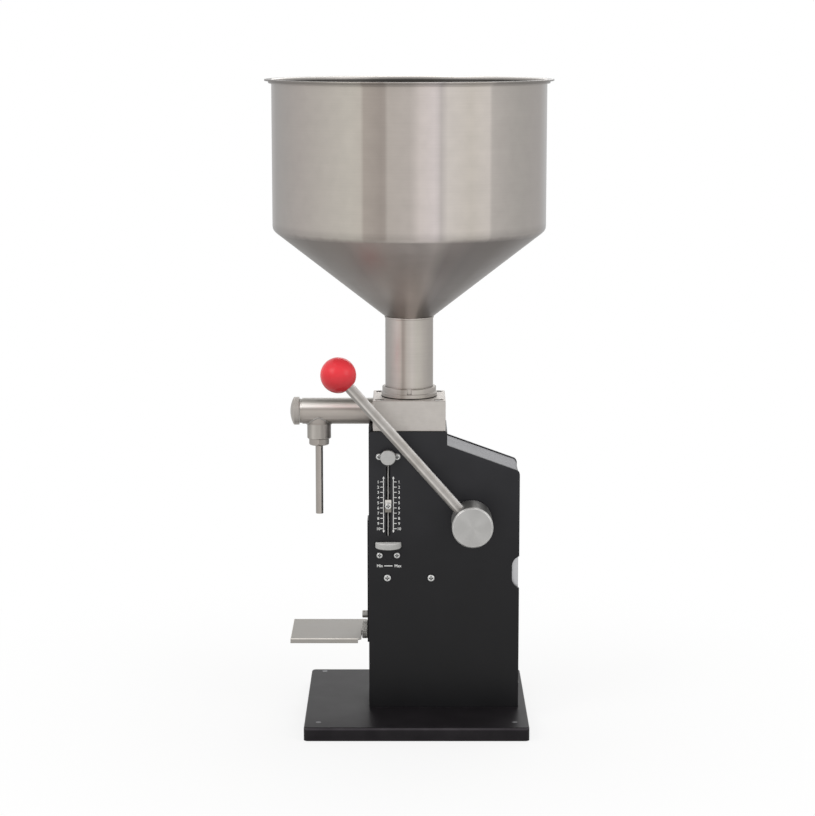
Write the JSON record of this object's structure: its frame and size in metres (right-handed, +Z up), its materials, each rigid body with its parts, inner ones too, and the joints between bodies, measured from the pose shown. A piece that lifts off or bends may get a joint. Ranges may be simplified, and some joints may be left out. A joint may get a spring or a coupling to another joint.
{
  "type": "manual piston filler",
  "caption": "Bench-top hand-operated piston filler: steel hopper over a slim black case, side discharge nozzle, ball-ended lever, dose scale with pointer and thumbwheel, and a bottle tray",
  "frame": {"origin": "on the bench surface under the vertical axis shared by the hopper, the valve block and the dosing cylinder", "axes": "+Z up; +X from the nozzle side towards the lever pivot side; -Y towards the operator, the side with the scale and the lever"},
  "size_m": [0.3151, 0.3152, 0.7117],
  "materials": {
    "satin_steel": "satin stainless steel, fine even grain",
    "hopper_steel": "drawn stainless sheet, soft satin with vertical reflections",
    "black_paint": "satin black coated steel",
    "bright_steel": "turned and ground stainless steel",
    "zinc_steel": "milled steel, dull grey",
    "fasteners": "plain stainless screws",
    "spring_steel": "drawn spring wire",
    "bronze": "sintered bronze bush",
    "seal_rubber": "pale food-grade seal rubber",
    "foot_rubber": "black rubber pad",
    "red_ball": "glossy red moulded ball"
  },
  "bodies": {
    "frame": {"base_angles": "zinc_steel", "base_plate": "black_paint", "base_screws": "fasteners", "bearing_housings": "zinc_steel", "block_bolts": "fasteners", "cap_gasket": "seal_rubber", "collar": "satin_steel", "cross_bars": "zinc_steel", "discharge_tube": "satin_steel", "end_cap": "satin_steel", "far_panel": "black_paint", "foot_pads": "foot_rubber", "front_panel": "black_paint", "guide_bush": "bronze", "hopper_bowl": "hopper_steel", "hopper_neck": "satin_steel", "inlet_spring": "spring_steel", "low_bearing": "black_paint", "neck_gasket": "seal_rubber", "nozzle": "satin_steel", "nozzle_gasket": "seal_rubber", "nozzle_nut": "satin_steel", "nozzle_side_wall": "black_paint", "outlet_spring": "spring_steel", "panel_screws": "fasteners", "piston_cylinder": "bright_steel", "rear_cover": "satin_steel", "rod_guide": "zinc_steel", "shaft_bushes": "bronze", "top_bearing": "bright_steel", "top_deck": "black_paint", "tray_guide_plate": "black_paint", "valve_block": "satin_steel", "valve_spider": "bright_steel", "wall_screws": "fasteners"},
    "lever": {"main_shaft": "bright_steel", "crank_key": "zinc_steel", "crank_arm": "zinc_steel", "set_collar": "zinc_steel", "lever_hub": "satin_steel", "hub_set_screw": "fasteners", "lever_rod": "satin_steel", "ball_knob": "red_ball"},
    "piston_group": {"piston": "bright_steel", "piston_seals": "seal_rubber", "piston_rod": "bright_steel", "crosshead": "zinc_steel", "crank_pin": "bright_steel", "stop_bracket": "zinc_steel"},
    "dial": {"lead_screw": "bright_steel", "thumbwheel": "bright_steel"},
    "dose_nut": {"volume_nut": "bright_steel", "nut_lock_screw": "fasteners"},
    "tray": {"tray_plate": "satin_steel", "tray_stud": "bright_steel", "tray_guide_pin": "bright_steel", "tray_inner_bar": "bright_steel"},
    "tray_clamp": {"tray_nut": "bright_steel"},
    "inlet_valve": {"inlet_poppet": "bright_steel"},
    "outlet_valve": {"outlet_poppet": "bright_steel"}
  },
  "joints": [
    {"name": "lever_swing", "type": "hinge", "parent": "frame", "child": "lever", "pos_m": [0.069, 0, 0.23], "axis": [0, -1, 0], "range_deg": [0, 45.95]},
    {"name": "piston_slide", "type": "slide", "parent": "frame", "child": "piston_group", "axis": [0, 0, -1], "range_m": [-0.0002, 0.0588]},
    {"name": "dose_nut_slide", "type": "slide", "parent": "frame", "child": "dose_nut", "axis": [0, 0, 1], "range_m": [-0.02592, 0.02682]},
    {"name": "thumbwheel_turn", "type": "hinge", "parent": "frame", "child": "dial", "pos_m": [-0.0232, -0.0364, 0.2014], "axis": [0, 0, 1], "range_deg": [-3108, 3216]},
    {"name": "tray_slide", "type": "slide", "parent": "frame", "child": "tray", "axis": [0, 0, 1], "range_m": [0, 0.085]},
    {"name": "tray_nut_turn", "type": "hinge", "parent": "tray", "child": "tray_clamp", "pos_m": [-0.05, 0, 0.095], "axis": [-1, 0, 0], "range_deg": [0, 180]},
    {"name": "inlet_lift", "type": "slide", "parent": "frame", "child": "inlet_valve", "axis": [0, 0, -1], "range_m": [0, 0.004], "stiffness_N_per_m": 250, "springref_m": -0.004, "deforming": ["inlet_spring"]},
    {"name": "outlet_lift", "type": "slide", "parent": "frame", "child": "outlet_valve", "axis": [-1, 0, 0], "range_m": [0, 0.005], "stiffness_N_per_m": 200, "springref_m": -0.004, "deforming": ["outlet_spring"]}
  ],
  "couplings": [
    {"joint": "piston_slide", "follows": "lever_swing", "m_per_rad": 0.072952},
    {"joint": "dose_nut_slide", "follows": "thumbwheel_turn", "m_per_rad": 0.00047746}
  ]
}
